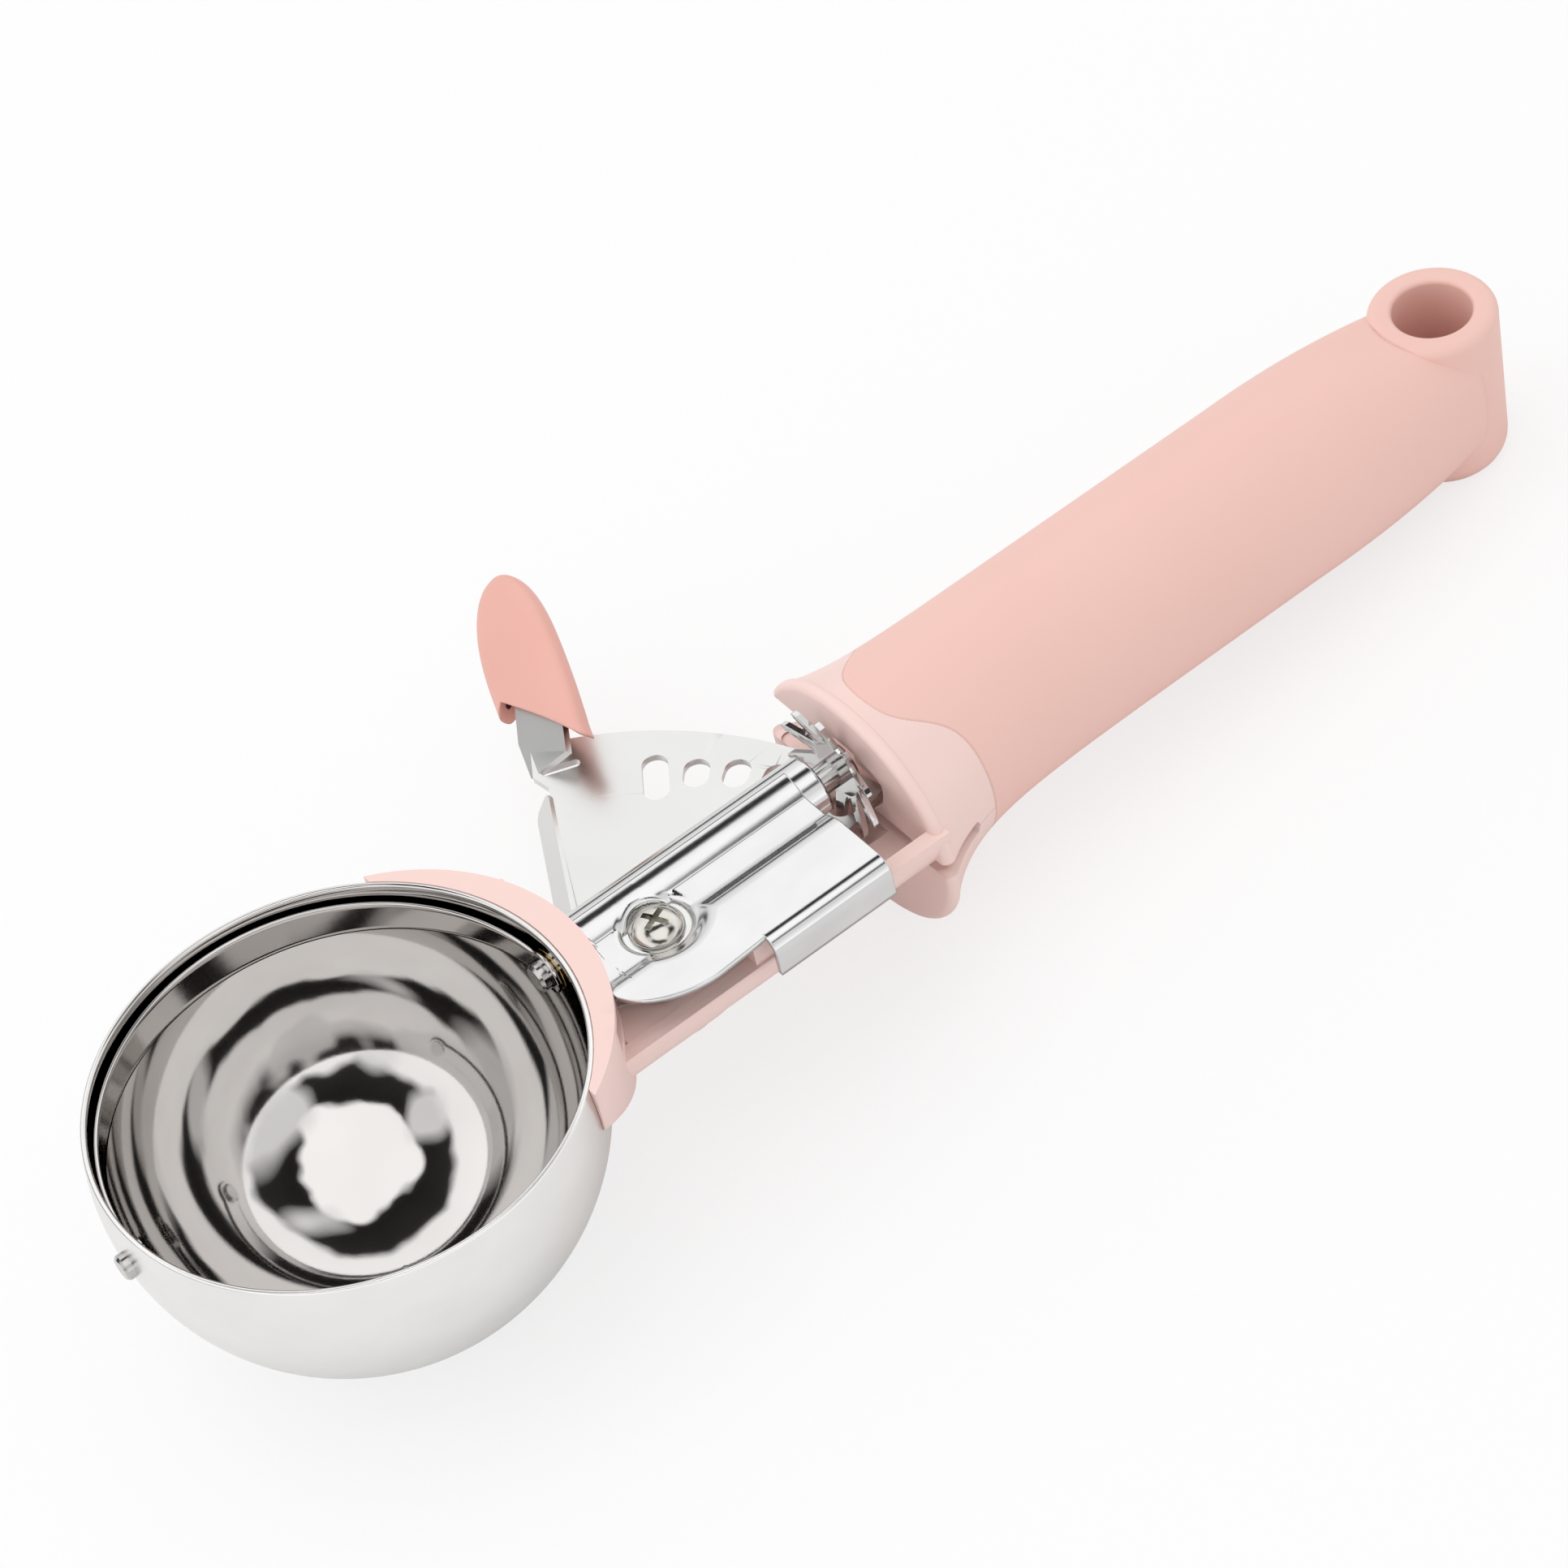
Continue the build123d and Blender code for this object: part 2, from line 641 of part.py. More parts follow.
with BuildPart() as handle_frame:
    # hull of the deck between the bowl and the guard
    with BuildSketch(at_x(24, hull_top)):
        add(hull_section(0))
    extrude(amount=guard_x + 2 - 24)
    with BuildSketch(at_x(20, hull_top)):
        add(hull_section(hull_wall))
    extrude(amount=guard_x - 20, mode=Mode.SUBTRACT)
    # floor, seat of the bracket and boss of the pivot screw
    with BuildSketch(Plane.XY.offset(deck_z - 1.6)):
        with Locations(((30 + guard_x) / 2, -3.4)):
            Rectangle(guard_x - 30, 16.0)
    extrude(amount=1.6)
    with BuildSketch(pivot_plane.offset(deck_z - 0.4 - insert_length)):
        Circle(4.6)
    extrude(amount=insert_length + 0.4)
    with BuildSketch(Plane.XY.offset(hull_top - 1)):
        with Locations((59.0, flange_y + 4.3)):
            Rectangle(19.0, 2.6)
    extrude(amount=raised_z - bracket_sheet - hull_top + 1)
    # open side under the lever
    with BuildSketch(Plane.XY.offset(-20)):
        with BuildLine():
            FilletPolyline(
                (35.6, 30), (35.6, deck_edge_y), (guard_x - 2.5, deck_edge_y), (guard_x - 2.5, 30),
                radius=4,
            )
            Line((guard_x - 2.5, 30), (35.6, 30))
        make_face()
    extrude(amount=30, mode=Mode.SUBTRACT)
    # saddle collar round the back of the bowl
    with BuildSketch(Plane.XY.offset(-13)):
        with Locations((collar_centre, 0)):
            Circle(collar_outer)
        with Locations((10, 0)):
            Rectangle(22, 80, mode=Mode.SUBTRACT)
        with Locations((-20, 0)):
            Rectangle(60, 80, mode=Mode.SUBTRACT)
    collar = extrude(amount=13 + rim_height - 0.2, mode=Mode.PRIVATE)
    with BuildSketch(at_x(0)):
        with BuildLine():
            Polyline((25.5, 0.6), (25.5, 8), (-25.5, 8), (-25.5, 0.6))
            Spline((-25.5, 0.6), (-17.0, -7.2), (0, -12.4), (17.0, -7.2), (25.5, 0.6))
        make_face()
    shield_block = extrude(amount=50, mode=Mode.PRIVATE)
    add(collar & shield_block)
    # guard disc, front of the handle form and tang
    with BuildSketch(at_x(guard_x, guard_z)):
        Ellipse(guard_half_width, guard_half_height)
    guard = extrude(amount=guard_thickness, mode=Mode.PRIVATE)
    add(guard.fillet(0.8, guard.edges()))
    add(handle_form.part & seam_block.part)
    with BuildSketch(at_x(tang_front, grip_z)):
        Circle(tang_radius)
    extrude(amount=tang_end - tang_front)
    with BuildSketch(at_x(neck_x, grip_z)):
        Circle(tang_radius - 2.4)
    extrude(amount=tang_end, mode=Mode.SUBTRACT)
    # recess of the wheel and the room of the lever
    with BuildSketch(at_x(guard_x - 5)):
        Circle(wheel_tip_radius + 1.2)
    extrude(amount=5, mode=Mode.SUBTRACT)
    with BuildSketch(at_x(guard_x)):
        Circle(guard_recess_radius)
    extrude(amount=guard_recess_depth, mode=Mode.SUBTRACT)
    add(lever_room.part, mode=Mode.SUBTRACT)
    # bowl, bracket tongue and bush
    Sphere(bowl_radius + collar_gap, mode=Mode.SUBTRACT)
    with BuildSketch(Plane.XY.offset(tongue_bottom - 0.1)):
        SlotArc(CenterArc((0, 0), bowl_radius + bracket_sheet / 2, -22.4, 44.8), bracket_sheet + 0.16)
    extrude(amount=recess_z + 1 - tongue_bottom, mode=Mode.SUBTRACT)
    with BuildSketch(at_x(bowl_radius - 2)):
        Circle(bush_radius + 1.1)
    extrude(amount=12, mode=Mode.SUBTRACT)
    # pivot screw hole and its insert
    with BuildSketch(pivot_plane.offset(deck_z - 0.2 - insert_length)):
        RegularPolygon(2.7, 12)
    extrude(amount=insert_length, mode=Mode.SUBTRACT)
    with BuildSketch(pivot_plane.offset(deck_z - 6)):
        Circle(screw_radius + 0.1)
    extrude(amount=12, mode=Mode.SUBTRACT)
    with BuildSketch(Plane.XY.offset(recess_z - bracket_sheet - 0.05)):
        with Locations((34, -9)):
            Rectangle(10, 20)
    extrude(amount=3.6, mode=Mode.SUBTRACT)
finish(handle_frame, "handle_frame")

# ---------------------------------------------------------------- grip and tail
with BuildPart() as grip_sleeve:
    add(handle_form.part)
    add(seam_block.part, mode=Mode.SUBTRACT)
    with BuildSketch(at_x(tang_front - 2, grip_z)):
        Circle(tang_radius + fit_gap)
    extrude(amount=tang_end - tang_front + 2.2, mode=Mode.SUBTRACT)
    add(lever_room.part, mode=Mode.SUBTRACT)
    with BuildSketch(Plane.XY.offset(-40)):
        with Locations((hang_x, 0)):
            Circle(ring_radius + fit_gap)
        with Locations((hang_x + ring_radius, 0)):
            Rectangle(2 * ring_radius, 4 * ring_radius)
    extrude(amount=80, mode=Mode.SUBTRACT)
finish(grip_sleeve, "grip_sleeve")

# upright ring at the tail, rounded below, that the scoop hangs from and rests on
foot_trim = 0.8
foot_rounding = 4.0
with BuildPart() as hang_loop:
    with BuildSketch(Plane.XY.offset(tail_foot - foot_trim)):
        with Locations((hang_x, 0)):
            Circle(ring_radius)
    extrude(amount=ring_top - tail_foot + foot_trim)
    fillet(hang_loop.edges().group_by(Axis.Z)[0], foot_rounding)
    fillet(hang_loop.edges().group_by(Axis.Z)[-1], 1.0)
    with BuildSketch(Plane.XY.offset(-40)):
        with Locations((hang_x, 0)):
            Circle(hang_radius)
    extrude(amount=80, mode=Mode.SUBTRACT)
    foot = Plane(
        origin=(hang_x, 0, tail_foot), z_dir=(sin(radians(-rest_tilt)), 0, cos(radians(rest_tilt)))
    )
    split(bisect_by=foot, keep=Keep.TOP)
finish(hang_loop, "hang_loop")

# ---------------------------------------------------------------- laying down
# The scoop lies on the bottom of its bowl and the foot of its hang loop.
tilted = [piece.rotate(Axis.Y, rest_tilt) for piece in pieces]
box = Compound(children=[copy(piece) for piece in tilted]).bounding_box()
table = Location((-box.center().X, -box.center().Y, -box.min.Z))

os.makedirs("parts", exist_ok=True)
for piece, original in zip(tilted, pieces):
    resting = piece.moved(table)
    resting.label = original.label
    export_step(resting, f"parts/{original.label}.step")
print("origin shift", table.position, "tilt", rest_tilt)
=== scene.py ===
import bpy
import mathutils
import numpy as np
from math import cos, pi, radians, sin
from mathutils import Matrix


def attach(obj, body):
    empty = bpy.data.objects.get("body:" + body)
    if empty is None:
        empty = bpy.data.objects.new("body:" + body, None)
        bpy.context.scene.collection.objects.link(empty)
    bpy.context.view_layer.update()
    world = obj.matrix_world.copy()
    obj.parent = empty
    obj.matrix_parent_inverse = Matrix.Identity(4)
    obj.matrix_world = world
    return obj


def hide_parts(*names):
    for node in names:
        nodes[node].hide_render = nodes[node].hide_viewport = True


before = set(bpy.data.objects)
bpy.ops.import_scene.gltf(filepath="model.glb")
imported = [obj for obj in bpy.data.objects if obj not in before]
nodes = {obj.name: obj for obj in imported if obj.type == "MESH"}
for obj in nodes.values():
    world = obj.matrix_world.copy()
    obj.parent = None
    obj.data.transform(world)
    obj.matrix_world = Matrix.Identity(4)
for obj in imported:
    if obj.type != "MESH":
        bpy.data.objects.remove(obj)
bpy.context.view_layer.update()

mm = 0.001

# the scoop's own frame: x along the drive shaft from the middle of the bowl, z the way
# the bowl opens, y to the side of the lever; restTilt lays it on bowl and tail
scoop = {"restTilt": radians(4.669402), "shift": (-76.555, -15.0284, 31.8)}


def toWorld(points):
    # turns rows of scoop millimetres about y by restTilt, then shifts them onto the table
    x, y, z = np.moveaxis(np.asarray(points, float), -1, 0)
    c, s = cos(scoop["restTilt"]), sin(scoop["restTilt"])
    dx, dy, dz = scoop["shift"]
    return np.stack([x * c + z * s + dx, y + dy, z * c - x * s + dz], axis=-1) * mm


def meshObject(name, verts, faces, mat):
    mesh = bpy.data.meshes.new(name)
    mesh.from_pydata(np.asarray(verts).tolist(), [], faces)
    mesh.validate()
    mesh.polygons.foreach_set("use_smooth", [True] * len(mesh.polygons))
    mesh.materials.append(mat)
    piece = bpy.data.objects.new(name, mesh)
    bpy.context.collection.objects.link(piece)
    return piece


def gridFaces(rows, cols, closed, start=0):
    # quads between neighbouring rows; closed joins the last column to the first
    last = cols if closed else cols - 1
    i, j = np.meshgrid(np.arange(rows - 1), np.arange(last), indexing="ij")
    k = (j + 1) % cols
    quads = np.stack([i * cols + j, i * cols + k, (i + 1) * cols + k, (i + 1) * cols + j], -1)
    return (quads.reshape(-1, 4) + start).tolist()


def sheetObject(name, points, closed, mat):
    # a grid of points, rows by columns, as one object in scoop millimetres
    return meshObject(name, toWorld(points.reshape(-1, 3)), gridFaces(*points.shape[:2], closed), mat)


def roundPower(angle, squareness):
    # a superellipse: cosine and sine keep their signs and are raised to 2 / squareness
    c, s = np.cos(angle), np.sin(angle)
    y = np.sign(c) * np.abs(c) ** (2 / squareness)
    z = np.sign(s) * np.abs(s) ** (2 / squareness)
    return y, z


def softStep(value):
    # three squares less two cubes, between 0 and 1
    t = np.clip(value, 0, 1)
    return t * t * (3 - 2 * t)


def quarter(centre, radius, start, rows):
    # a quarter of a circle, anticlockwise from start degrees
    turn = np.radians(np.linspace(start, start + 90, rows))
    return np.stack([centre[0] + radius * np.cos(turn), centre[1] + radius * np.sin(turn)], -1)


def revolved(profile, steps, axisX=0.0):
    # rows of (radius, height) turned about the upright line x = axisX
    turn = np.linspace(0, 2 * pi, steps, endpoint=False)
    radius, height = np.moveaxis(np.asarray(profile, float), -1, 0)
    return np.stack([axisX + radius[:, None] * np.cos(turn), radius[:, None] * np.sin(turn),
                     height[:, None] + 0 * turn], axis=-1)


def standIn(piece, nodeName, body="frame"):
    # the piece moves with its body and is shown in the node's place
    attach(piece, body)
    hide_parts(nodeName)


def linear(hexCode):
    # sRGB hex to linear rgba
    v = np.array([int(hexCode[i:i + 2], 16) for i in (0, 2, 4)]) / 255
    v = np.where(v <= 0.04045, v / 12.92, ((v + 0.055) / 1.055) ** 2.4)
    return (*v.tolist(), 1.0)


def addNode(tree, kind, settings=None, links=None):
    # settings are the node's own, or values for its inputs by name or number
    node = tree.nodes.new(kind)
    for key, value in (settings or {}).items():
        if isinstance(key, str) and hasattr(node, key):
            setattr(node, key, value)
        else:
            node.inputs[key].default_value = value
    for key, source in (links or {}).items():
        tree.links.new(source, node.inputs[key])
    return node


# what each family of material shares; bumpDepth is in millimetres
metalKind = {"fineDetail": 4.0, "broadDetail": 2.0, "bumpDepth": 0.02, "shader": {"Metallic": 1.0}}
polypropyleneKind = {"fineDetail": 3.0, "broadDetail": 2.0, "bumpDepth": 0.05, "shader": {"IOR": 1.49}}
elastomerKind = dict(polypropyleneKind, shader={"IOR": 1.5})
mixedColour = 2  # a Mix node gives its colour in the third output


def newMaterial(name):
    mat = bpy.data.materials.new(name)
    mat.use_nodes = True
    mat.node_tree.nodes.clear()
    return mat, mat.node_tree


def workedMaterial(name, kind, look):
    # a fine noise, drawn out along the marks of the work, runs roughness and bump; a broad
    # one runs the tint from dark to light
    mat, tree = newMaterial(name)
    place = addNode(tree, "ShaderNodeTexCoord")
    noise = {}
    for part in ("fine", "broad"):
        scaled = addNode(tree, "ShaderNodeMapping", {"Scale": [1 / mm / size for size in look[part]]},
                         {"Vector": place.outputs["Object"]})
        pattern = addNode(tree, "ShaderNodeTexNoise", {"Scale": 1.0, "Detail": kind[part + "Detail"]},
                          {"Vector": scaled.outputs["Vector"]})
        noise[part] = pattern.outputs["Fac"]
    tint = addNode(tree, "ShaderNodeMix", {"data_type": "RGBA", "A": linear(look["dark"]),
                                           "B": linear(look["light"])}, {"Factor": noise["broad"]})
    low, high = look["roughness"]
    rough = addNode(tree, "ShaderNodeMapRange", {"To Min": low, "To Max": high},
                    {"Value": noise["fine"]})
    bump = addNode(tree, "ShaderNodeBump", {"Strength": look["bump"], "Distance": kind["bumpDepth"] * mm},
                   {"Height": noise["fine"]})
    surface = addNode(tree, "ShaderNodeBsdfPrincipled", kind["shader"],
                      {"Base Color": tint.outputs[mixedColour], "Roughness": rough.outputs["Result"],
                       "Normal": bump.outputs["Normal"]})
    addNode(tree, "ShaderNodeOutputMaterial", {}, {"Surface": surface.outputs["BSDF"]})
    return mat


# fine is the size of polishing lines or mould grain along x, y and z, broad that of smears or
# clouds, in millimetres; real lines and grain are about ten times finer, and these are drawn
# as coarse as they need to be to show

# 18/8 stainless sheet, deep drawn and buffed inside: a mirror with faint rings
mirrorSteel = workedMaterial("mirrorBuffedStainless", metalKind, {
    "fine": (0.4, 0.4, 2.0), "broad": (14, 14, 8), "dark": "C9C6C4", "light": "D6D4D2",
    "bump": 0.05, "roughness": (0.03, 0.07)})
# the same sheet, tumbled outside: pale satin, nothing mirrored clearly
satinSteel = workedMaterial("satinTumbledStainless", metalKind, {
    "fine": (3.0, 3.0, 0.25), "broad": (9, 9, 6), "dark": "E6E5E3", "light": "F0EFED",
    "bump": 0.25, "roughness": (0.26, 0.36)})
# stamped stainless sheet, tumbled bright: clear, slightly soft reflections
brightSteel = workedMaterial("tumbledStampedStainless", metalKind, {
    "fine": (1.2, 0.3, 0.3), "broad": (8, 5, 5), "dark": "CFCFCF", "light": "DEDEDE",
    "bump": 0.08, "roughness": (0.09, 0.16)})
# stainless sheet, brushed before stamping: an even pale grey
leverSteel = workedMaterial("brushedSheetStainless", metalKind, {
    "fine": (0.3, 6.0, 0.3), "broad": (14, 14, 14), "dark": "DCDCDA", "light": "E4E4E2",
    "bump": 0.04, "roughness": (0.30, 0.34)})
# stainless rod, turned: darker, with fine rings
turnedSteel = workedMaterial("turnedStainlessRod", metalKind, {
    "fine": (0.25, 1.5, 1.5), "broad": (5, 5, 5), "dark": "B9B7B5", "light": "C8C6C4",
    "bump": 0.1, "roughness": (0.12, 0.22)})
# cold-headed steel, nickel plated: a warm shine without lines
screwSteel = workedMaterial("nickelPlatedScrew", metalKind, {
    "fine": (0.4, 0.4, 0.4), "broad": (3, 3, 3), "dark": "C6C3BC", "light": "D2CFCA",
    "bump": 0.1, "roughness": (0.12, 0.2)})
# spring steel, drawn to wire: dark grey with a dull shine
springSteel = workedMaterial("drawnSpringWire", metalKind, {
    "fine": (0.2, 0.2, 0.8), "broad": (3, 3, 3), "dark": "8E8E8E", "light": "9C9C9C",
    "bump": 0.1, "roughness": (0.2, 0.3)})
# free-cutting brass, turned: yellow with fine rings
turnedBrass = workedMaterial("turnedBrass", metalKind, {
    "fine": (0.25, 0.8, 0.8), "broad": (4, 4, 4), "dark": "C5A25E", "light": "D2B06B",
    "bump": 0.1, "roughness": (0.15, 0.25)})
# polypropylene, moulded in a fine satin tool: an even pale pink with a soft gloss
framePlastic = workedMaterial("mouldedPalePinkPolypropylene", polypropyleneKind, {
    "fine": (0.35, 0.35, 0.35), "broad": (18, 18, 18), "dark": "F2D2CB", "light": "F4D7D0",
    "bump": 0.12, "roughness": (0.34, 0.42)})
# elastomer, moulded over the frame in a grained tool: a little darker and duller
gripPlastic = workedMaterial("mouldedPinkElastomer", elastomerKind, {
    "fine": (0.4, 0.4, 0.4), "broad": (24, 24, 24), "dark": "EEC2B7", "light": "F1C7BD",
    "bump": 0.15, "roughness": (0.46, 0.56)})
# elastomer, moulded on the tab: a deeper pink
padPlastic = workedMaterial("mouldedPinkPadElastomer", elastomerKind, {
    "fine": (0.4, 0.4, 0.4), "broad": (12, 12, 12), "dark": "E6AB9E", "light": "EAB2A6",
    "bump": 0.15, "roughness": (0.42, 0.5)})
print("materials ready")

nodeMaterials = {
    "front_pivot_pin": turnedSteel, "drive_shaft": turnedSteel, "thrust_collar": turnedSteel,
    "star_wheel": brightSteel, "wheel_retainer": turnedSteel, "shaft_bush": turnedBrass,
    "lever_plate": leverSteel, "pivot_screw": screwSteel, "screw_washer": screwSteel,
    "pivot_sleeve": turnedSteel, "lever_washer": screwSteel, "threaded_insert": turnedBrass,
    "lever_return_spring": springSteel, "handle_frame": framePlastic,
}
for nodeName, mat in nodeMaterials.items():
    for matSlot in nodes[nodeName].material_slots:
        matSlot.material = mat

# softened edges of the stamped and moulded nodes, each with its own radius
edgeSet = {"weld": 0.002, "segments": 2, "angle": 40,
           "radius": {"star_wheel": 0.12, "lever_plate": 0.15, "pivot_screw": 0.12,
                      "screw_washer": 0.08, "handle_frame": 0.3}}
for nodeName, radius in edgeSet["radius"].items():
    weld = nodes[nodeName].modifiers.new("weld", "WELD")
    weld.merge_threshold = edgeSet["weld"] * mm
    bevel = nodes[nodeName].modifiers.new("edge", "BEVEL")
    bevel.width = radius * mm
    bevel.segments = edgeSet["segments"]
    bevel.limit_method = "ANGLE"
    bevel.angle_limit = radians(edgeSet["angle"])
    bevel.harden_normals = True
print("carried-over nodes dressed")

# bowl: a spun half sphere with a rolled-off rim, mirror inside and satin outside
bowlSet = {"outer": 31.8, "wall": 0.8, "rimHeight": 6.1, "poleGap": 0.002, "rimRows": 9,
           "rows": 90, "turnSteps": 240}


def makeBowl(dims):
    # the outside is an arc of the outer radius from the pole up to the rim, the rim half a
    # circle as thick as the wall, the inside an arc less by the wall, down to the pole again
    outer, inner = dims["outer"], dims["outer"] - dims["wall"]
    middle, rimRadius = outer - dims["wall"] / 2, dims["wall"] / 2
    top = np.arcsin((dims["rimHeight"] - rimRadius) / outer)
    rise = np.linspace(-pi / 2 + dims["poleGap"], top, dims["rows"])
    roll = np.linspace(0, pi, dims["rimRows"])[1:-1]
    outside = np.stack([outer * np.cos(rise), outer * np.sin(rise)], -1)
    rim = np.stack([middle * cos(top) + rimRadius * np.cos(roll + top),
                    middle * sin(top) + rimRadius * np.sin(roll + top)], -1)
    inside = np.stack([inner * np.cos(rise[::-1]), inner * np.sin(rise[::-1])], -1)
    points = revolved(np.concatenate([outside, rim, inside]), dims["turnSteps"])
    bowl = sheetObject("bowlShell", points, True, satinSteel)
    bowl.data.materials.append(mirrorSteel)
    firstInside = (dims["rows"] + dims["rimRows"] // 2 - 1) * dims["turnSteps"]
    isInside = np.arange(len(bowl.data.polygons)) >= firstInside
    bowl.data.polygons.foreach_set("material_index", isInside.astype(int).tolist())
    return bowl


standIn(makeBowl(bowlSet), "bowl")

# scraper: a narrow band on a great circle of the bowl, with a round eye at each end
bladeSet = {"outer": 30.6, "thickness": 0.6, "half": 2.9, "endHalf": 2.2, "eye": 3.0,
            "eyeShare": 0.995, "edgeSquare": 5.0, "lean": 2.0, "rows": 161, "around": 16}


def makeBlade(dims):
    # rows go along the arc by its angle; the half width grows from the ends to the middle
    # with the squared sine, or is that of the round eye where this is wider; the section is
    # a thin superellipse; the whole leans about x
    reach = np.arcsin(dims["eye"] * dims["eyeShare"] / dims["outer"])
    u = np.linspace(-reach, pi + reach, dims["rows"])[:, None]
    across = dims["outer"] * np.abs(np.sin(u))
    eye = np.sqrt(np.clip(dims["eye"] ** 2 - across ** 2, 0, None))
    strip = dims["endHalf"] + (dims["half"] - dims["endHalf"]) * np.sin(u) ** 2
    width = np.maximum(eye, np.where(np.sin(u) > 0, strip, 0))
    section = np.linspace(0, 2 * pi, dims["around"], endpoint=False)[None, :]
    v, t = roundPower(section, dims["edgeSquare"])
    radius = dims["outer"] - dims["thickness"] / 2 * (1 - t)
    radius = np.sqrt(radius ** 2 - (width * v) ** 2)
    x, y, z = radius * np.cos(u), radius * np.sin(u), width * v
    lean = radians(dims["lean"])
    points = np.stack([x, y * cos(lean) - z * sin(lean), y * sin(lean) + z * cos(lean)], -1)
    return sheetObject("scraperBand", points, True, mirrorSteel)


standIn(makeBlade(bladeSet), "scraper_blade", "shaft")
print("bowl and scraper ready")

# handle: one outer form, cut by the wavy seam into the frame's trumpet and the grip
handleSet = {"flareStart": 79.0, "neck": 13.27, "flareWide": 5.1, "flareTall": 3.95,
             "flareDrop": 4.35, "flareFade": 6.2, "dropFade": 7.4, "axis": -3.8,
             "taperFrom": 146.0, "end": 178.5, "tailHalf": 9.0, "tailHeight": 10.9,
             "tailSquare": 2.7, "tailDrop": 0.8, "halfPower": 2, "tallPower": 1.6,
             "dropPower": 2.2, "squarePower": 1.3,
             "seamNose": 81.0, "seamReach": 7.9, "seamSide": 7.6, "seamSoft": 1.55,
             "bossX": 177.6, "bossRadius": 8.6, "bossTuck": 0.3,
             "guess": (84.0, 174.0), "settleSteps": 120, "seamShare": 0.2, "bossShare": 0.5,
             "lipShrink": (0.06, 0.02, 0.006), "lipX": (0.02, 0.02, -0.05), "headTuck": 0.1,
             "around": 240, "rows": 150}


def handleOutline(dims, x):
    # half width and height are the neck's and a flare that dies away along x; they shrink
    # to the tail's with a power of the way there; the middle sinks in the same manner
    flare = np.exp((dims["flareStart"] - x) / dims["flareFade"])
    way = np.clip((x - dims["taperFrom"]) / (dims["end"] - dims["taperFrom"]), 0, None)
    half = (dims["neck"] + dims["flareWide"] * flare
            - (dims["neck"] - dims["tailHalf"]) * way ** dims["halfPower"])
    tall = (dims["neck"] + dims["flareTall"] * flare
            - (dims["neck"] - dims["tailHeight"]) * way ** dims["tallPower"])
    drop = dims["flareDrop"] * np.exp((dims["flareStart"] - x) / dims["dropFade"])
    middle = dims["axis"] - drop - dims["tailDrop"] * way ** dims["dropPower"]
    return half, tall, middle, way


def handleSection(dims, x, angle):
    # a superellipse that turns squarer on its way to the tail
    half, tall, middle, way = handleOutline(dims, x)
    y, z = roundPower(angle, 2 + (dims["tailSquare"] - 2) * way ** dims["squarePower"])
    return half * y, middle + tall * z


def seamX(dims, y):
    # from the nose of the grip back to its sides by a logistic step in the distance from y = 0
    away = np.exp((dims["seamSide"] - np.abs(y)) / dims["seamSoft"])
    return dims["seamNose"] + dims["seamReach"] / (1 + away)


def makeGrip(dims):
    # superellipse sections from the seam to the hang loop; where both ends meet the surface
    # is found column by column, by setting x to the seam's or the loop's x at the column's
    # y until it settles; a small lip turns in at each end
    angle = np.linspace(0, 2 * pi, dims["around"], endpoint=False)
    front, back = (np.full(angle.shape, x) for x in dims["guess"])
    seamShare, bossShare = dims["seamShare"], dims["bossShare"]
    for _ in range(dims["settleSteps"]):
        seam = seamX(dims, handleSection(dims, front, angle)[0])
        front = (1 - seamShare) * front + seamShare * seam
        side = handleSection(dims, back, angle)[0]
        reach = np.sqrt(np.clip((dims["bossRadius"] - dims["bossTuck"]) ** 2 - side ** 2, 0, None))
        back = (1 - bossShare) * back + bossShare * (dims["bossX"] - reach)
    x = front + (back - front) * np.linspace(0, 1, dims["rows"])[:, None]
    y, z = handleSection(dims, x, angle[None, :])
    shrink = 1 - np.array(dims["lipShrink"])[:, None]
    lipX = np.array(dims["lipX"])[:, None]
    middle = dims["axis"]
    head = np.stack([front + lipX + dims["headTuck"], y[:1] * shrink,
                     middle + (z[:1] - middle) * shrink], -1)
    tail = np.stack([back - lipX[::-1], y[-1:] * shrink[::-1],
                     middle + (z[-1:] - middle) * shrink[::-1]], -1)
    points = np.concatenate([head, np.stack([x, y, z], -1), tail])
    return sheetObject("gripSleeve", points, True, gripPlastic)


standIn(makeGrip(handleSet), "grip_sleeve")

hangSet = {"x": 177.6, "radius": 8.6, "hole": 5.3, "top": 7.5, "foot": -18.2, "footRound": 4.0,
           "topRound": 1.3, "holeRound": 0.7, "boreGap": 0.2, "roundRows": 9, "wallRows": 24,
           "turnSteps": 160}


def makeHangLoop(dims):
    # a turned ring: rounded foot, straight wall, rounded lip and the bore; what would reach
    # below the table is laid flat on it
    foot = quarter((dims["radius"] - dims["footRound"], dims["foot"] + dims["footRound"]),
                   dims["footRound"], -90, dims["roundRows"])
    lip = quarter((dims["radius"] - dims["topRound"], dims["top"] - dims["topRound"]),
                  dims["topRound"], 0, dims["roundRows"])
    mouth = quarter((dims["hole"] + dims["holeRound"], dims["top"] - dims["holeRound"]),
                    dims["holeRound"], 90, dims["roundRows"])
    boreTop = dims["top"] - dims["holeRound"] - dims["boreGap"]
    bore = np.stack([np.full(dims["wallRows"], dims["hole"]),
                     np.linspace(boreTop, dims["foot"], dims["wallRows"])], -1)
    profile = np.concatenate([foot, lip, mouth, bore, foot[:1]])
    points = toWorld(revolved(profile, dims["turnSteps"], dims["x"]).reshape(-1, 3))
    points[:, 2] = np.maximum(points[:, 2], 0)
    return meshObject("hangRing", points, gridFaces(len(profile), dims["turnSteps"], True), gripPlastic)


standIn(makeHangLoop(hangSet), "hang_loop")
print("grip and hang loop ready")

